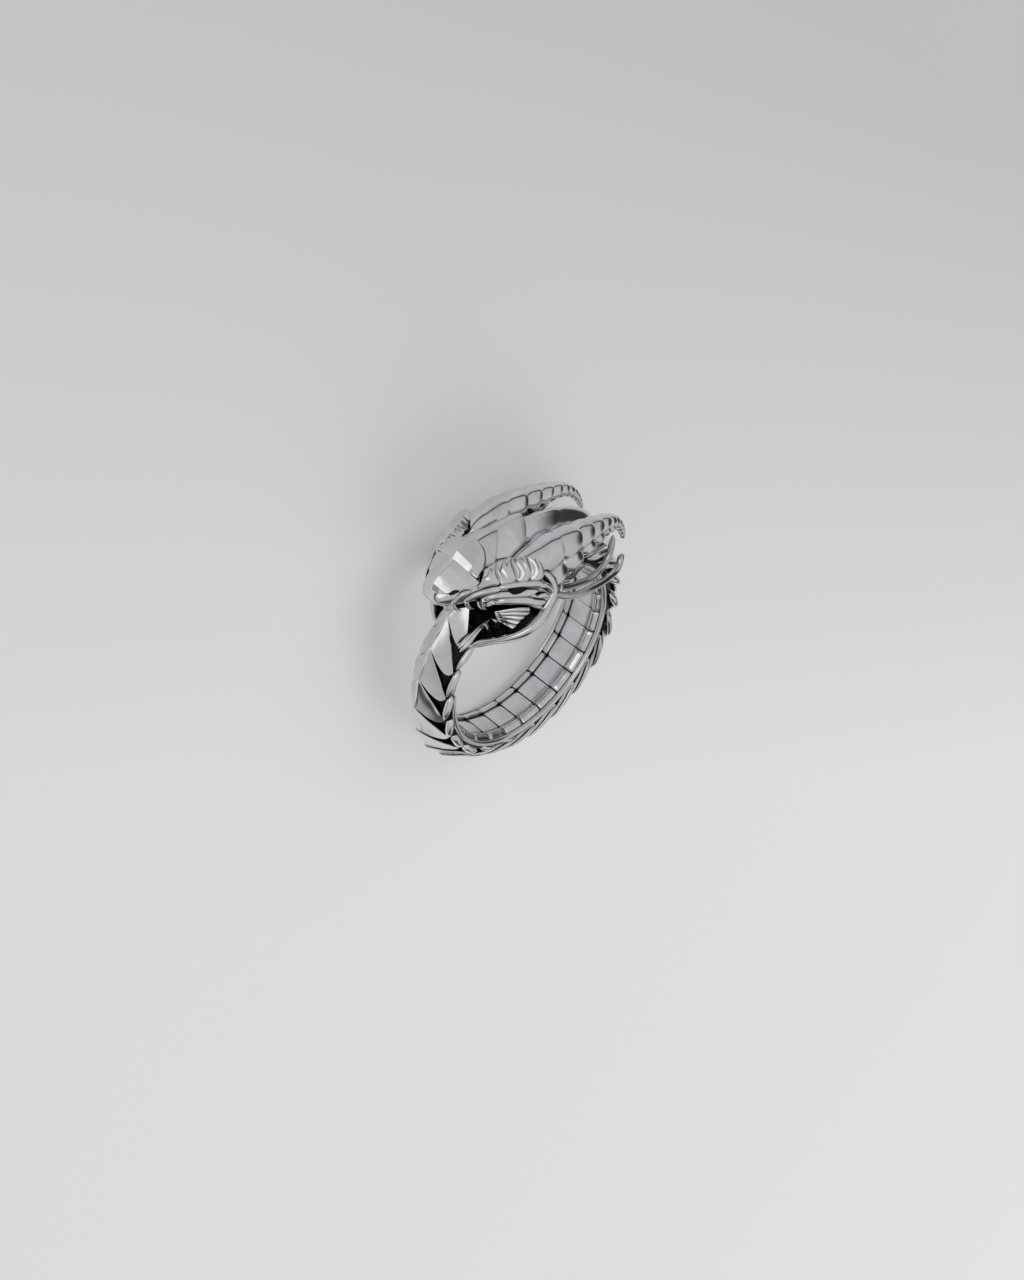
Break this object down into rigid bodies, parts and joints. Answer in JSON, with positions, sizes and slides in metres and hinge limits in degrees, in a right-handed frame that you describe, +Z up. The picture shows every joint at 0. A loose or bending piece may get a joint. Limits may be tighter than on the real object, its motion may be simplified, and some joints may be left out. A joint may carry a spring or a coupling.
{
  "type": "dragon ring",
  "caption": "Cast silver finger ring: a horned dragon whose scaled body is the band and whose jaws close on its own thin tail.",
  "frame": {"origin": "centre of the finger hole, midway between its two rims", "axes": "the ring lies on its side: +Z is up from the surface, +Y runs from the finger hole's centre towards the dragon's head, and the snout points to -X; the finger's axis leans from +Z towards -Y by 10.2 degrees, because the head is wider than the band"},
  "size_m": [0.0279, 0.0311, 0.0132],
  "materials": {
    "silver": "polished sterling silver, blackened in the recesses"
  },
  "bodies": {
    "root": {"cast_ring": "silver"}
  },
  "joints": []
}
